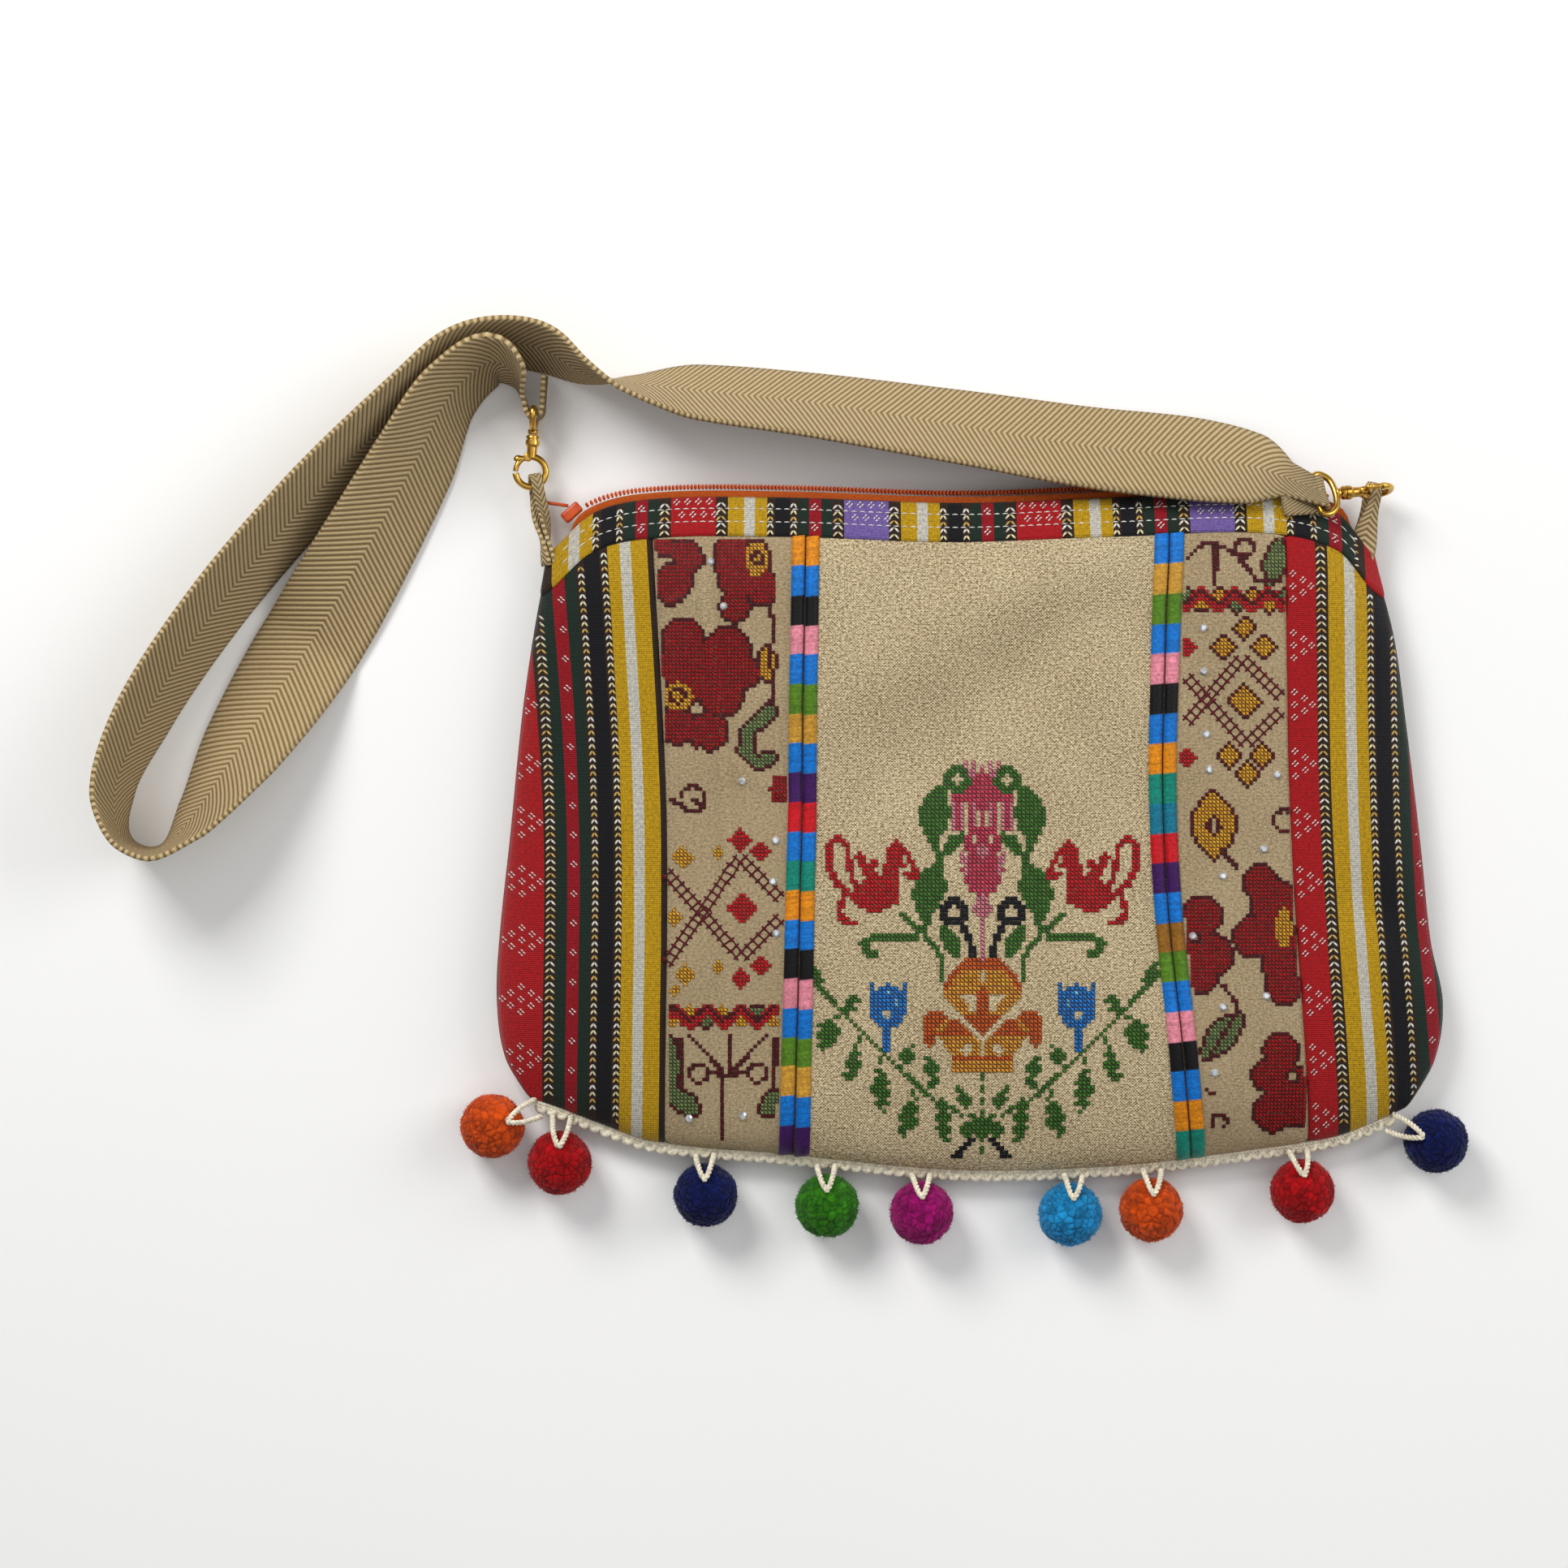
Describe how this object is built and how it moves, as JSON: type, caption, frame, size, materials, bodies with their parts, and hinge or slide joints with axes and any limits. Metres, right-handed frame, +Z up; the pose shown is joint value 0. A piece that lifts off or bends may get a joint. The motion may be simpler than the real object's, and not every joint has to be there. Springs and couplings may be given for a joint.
{
  "type": "embroidered shoulder bag",
  "caption": "Flat folk-embroidered zipped bag lying on its back, with striped top bands, pompom hem and a webbing shoulder strap on two gold trigger hooks.",
  "frame": {"origin": "on the flat underside of the back panel, near the middle of the bag", "axes": "+X to the right as the front is seen, +Y from the hem towards the zip, +Z up through the front"},
  "size_m": [0.506, 0.3422, 0.0392],
  "materials": {
    "striped_cloth": "woven stripes with flower dots and braids",
    "flowered_cloth": "cross-stitched cloth with cut stones",
    "linen": "plain weave with a cross-stitched motif",
    "jute": "coarse open plain weave",
    "wound_thread": "satin thread wound in colour blocks",
    "webbing": "herringbone webbing",
    "zip_orange": "woven tape and spiral coil",
    "zip_metal": "orange lacquer",
    "gold_metal": "polished",
    "cream_cord": "twisted cotton cord",
    "yarn_orange": "cut yarn",
    "yarn_red": "cut yarn",
    "yarn_navy": "cut yarn",
    "yarn_green": "cut yarn",
    "yarn_magenta": "cut yarn",
    "yarn_sky": "cut yarn"
  },
  "bodies": {
    "bag": {"striped_strip_left": "striped_cloth", "flowered_strip_left": "flowered_cloth", "wound_cord_left_1": "wound_thread", "wound_cord_left_2": "wound_thread", "hook_claw_left": "gold_metal", "hook_eye_left": "gold_metal", "tab_left": "webbing", "striped_strip_right": "striped_cloth", "flowered_strip_right": "flowered_cloth", "wound_cord_right_1": "wound_thread", "wound_cord_right_2": "wound_thread", "hook_claw_right": "gold_metal", "hook_eye_right": "gold_metal", "tab_right": "webbing", "linen_panel": "linen", "top_band_front": "striped_cloth", "top_band_back": "striped_cloth", "back_panel": "jute", "zip_tape": "zip_orange", "zip_coil": "zip_orange", "zip_slider": "zip_metal", "strap": "webbing", "hem_trim": "cream_cord", "pompom_1": "yarn_orange", "pompom_loop_1": "cream_cord", "pompom_2": "yarn_red", "pompom_loop_2": "cream_cord", "pompom_3": "yarn_navy", "pompom_loop_3": "cream_cord", "pompom_4": "yarn_green", "pompom_loop_4": "cream_cord", "pompom_5": "yarn_magenta", "pompom_loop_5": "cream_cord", "pompom_6": "yarn_sky", "pompom_loop_6": "cream_cord", "pompom_7": "yarn_orange", "pompom_loop_7": "cream_cord", "pompom_8": "yarn_red", "pompom_loop_8": "cream_cord", "pompom_9": "yarn_navy", "pompom_loop_9": "cream_cord"},
    "gate_left": {"hook_gate_left": "gold_metal"},
    "gate_right": {"hook_gate_right": "gold_metal"},
    "zip_pull": {"zip_pull": "zip_metal"}
  },
  "joints": [
    {"name": "gate_left_swing", "type": "hinge", "parent": "bag", "child": "gate_left", "pos_m": [-0.16384, 0.13993, 0.01073], "axis": [0.0995, -0.006, 0.995], "range_deg": [0, 30], "stiffness_Nm_per_rad": 0.02},
    {"name": "gate_right_swing", "type": "hinge", "parent": "bag", "child": "gate_right", "pos_m": [0.145, 0.1272, 0.01588], "axis": [-0.132, 0.9646, -0.2284], "range_deg": [0, 30], "stiffness_Nm_per_rad": 0.02},
    {"name": "zip_pull_swing", "type": "hinge", "parent": "bag", "child": "zip_pull", "pos_m": [-0.14999, 0.12209, 0.0089], "axis": [0, 0, 1], "range_deg": [-115, 20]}
  ]
}
